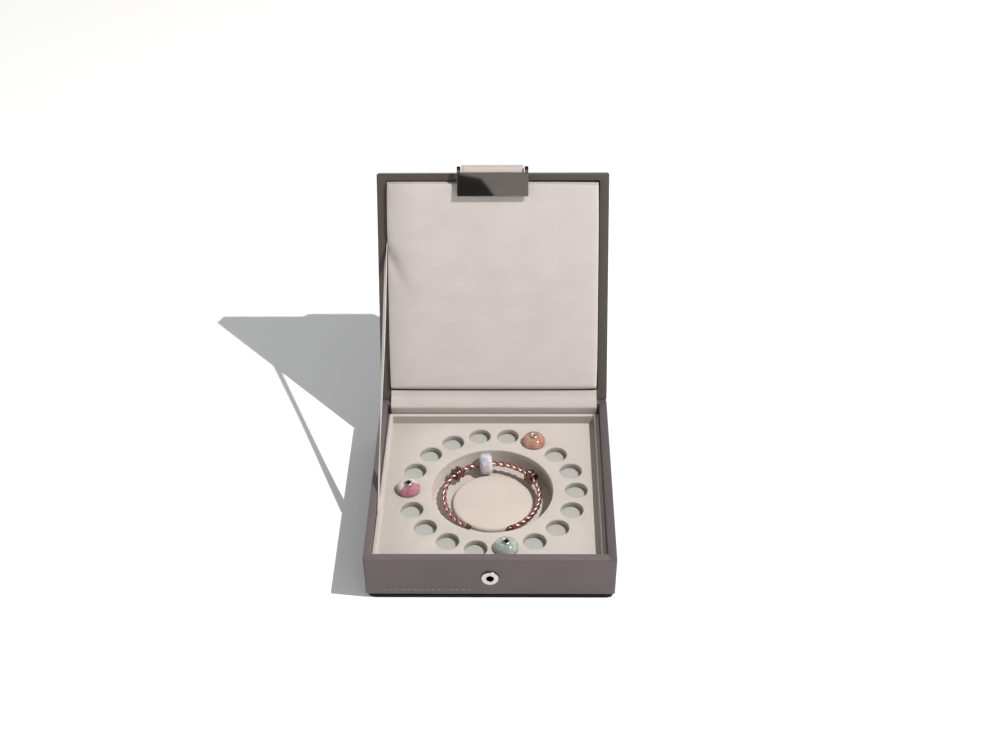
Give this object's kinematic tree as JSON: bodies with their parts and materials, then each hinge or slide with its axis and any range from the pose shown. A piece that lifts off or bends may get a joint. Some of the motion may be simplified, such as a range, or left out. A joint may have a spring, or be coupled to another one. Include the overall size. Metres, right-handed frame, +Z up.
{
  "type": "charm jewelry box",
  "caption": "Square leather-covered jewelry box with a padded lid on a ribbon stay, a snap clasp, and a flocked insert with a ring of bead recesses round a sunken bangle well.",
  "frame": {"origin": "centre of the base's underside, on the surface the box rests on", "axes": "+Z up; -Y towards the front with the snap; +Y towards the hinge; +X to the right seen from the front"},
  "size_m": [0.15, 0.2249, 0.1747],
  "materials": {
    "black_board": "matte black board",
    "card": "plain board",
    "taupe_leather": "fine-grained taupe leatherette",
    "velvet": "pale beige velvet",
    "beige_leather": "pale beige leatherette",
    "felt": "grey-green felt",
    "ribbon": "satin ribbon",
    "nickel": "polished nickel",
    "gunmetal": "polished gunmetal",
    "rose_gold": "polished rose gold",
    "opal_glass": "milky glass",
    "bead_silver": "polished silver",
    "orange_glass": "orange glass",
    "pink_glass": "pink and clear glass",
    "green_glass": "pale green glass"
  },
  "bodies": {
    "base": {"base_cover": "black_board", "base_floor": "card", "base_walls": "taupe_leather", "hinge_spine": "taupe_leather", "liner_frame": "velvet", "tray_floor": "velvet", "tray_core": "velvet", "charm_tray": "velvet", "centre_disc": "velvet", "hinge_lining": "velvet", "recess_felt": "felt", "ribbon_stay": "ribbon", "snap_socket": "nickel", "bangle": "rose_gold", "bangle_cap_left": "rose_gold", "bangle_cap_right": "rose_gold", "clip_bead_left": "rose_gold", "clip_bead_right": "rose_gold", "opal_bead": "opal_glass", "opal_bead_core": "bead_silver", "bead_orange": "orange_glass", "bead_orange_core": "bead_silver", "bead_pink": "pink_glass", "bead_pink_core": "bead_silver", "bead_green": "green_glass", "bead_green_core": "bead_silver"},
    "lid": {"lid_shell": "taupe_leather", "lid_pad_board": "card", "lid_pad": "velvet", "strap_anchor": "beige_leather"},
    "strap": {"clasp_strap": "beige_leather"},
    "clasp": {"clasp_tab": "beige_leather", "clasp_plate": "gunmetal", "snap_stud": "nickel"}
  },
  "joints": [
    {"name": "lid_hinge", "type": "hinge", "parent": "base", "child": "lid", "pos_m": [0, 0.075, 0.032], "axis": [1, 0, 0], "range_deg": [0, 115.2], "deforming": ["ribbon_stay", "hinge_lining", "hinge_spine"]},
    {"name": "clasp_lift", "type": "hinge", "parent": "lid", "child": "strap", "pos_m": [0, 0.14775, 0.16288], "axis": [-1, 0, 0], "range_deg": [-4.5, 60]},
    {"name": "clasp_fold", "type": "hinge", "parent": "strap", "child": "clasp", "pos_m": [0, 0.13754, 0.17299], "axis": [1, 0, 0], "range_deg": [-89.5, 0]}
  ],
  "couplings": [
    {"joint": "clasp_fold", "follows": "lid_hinge", "ratio": -0.7769}
  ]
}
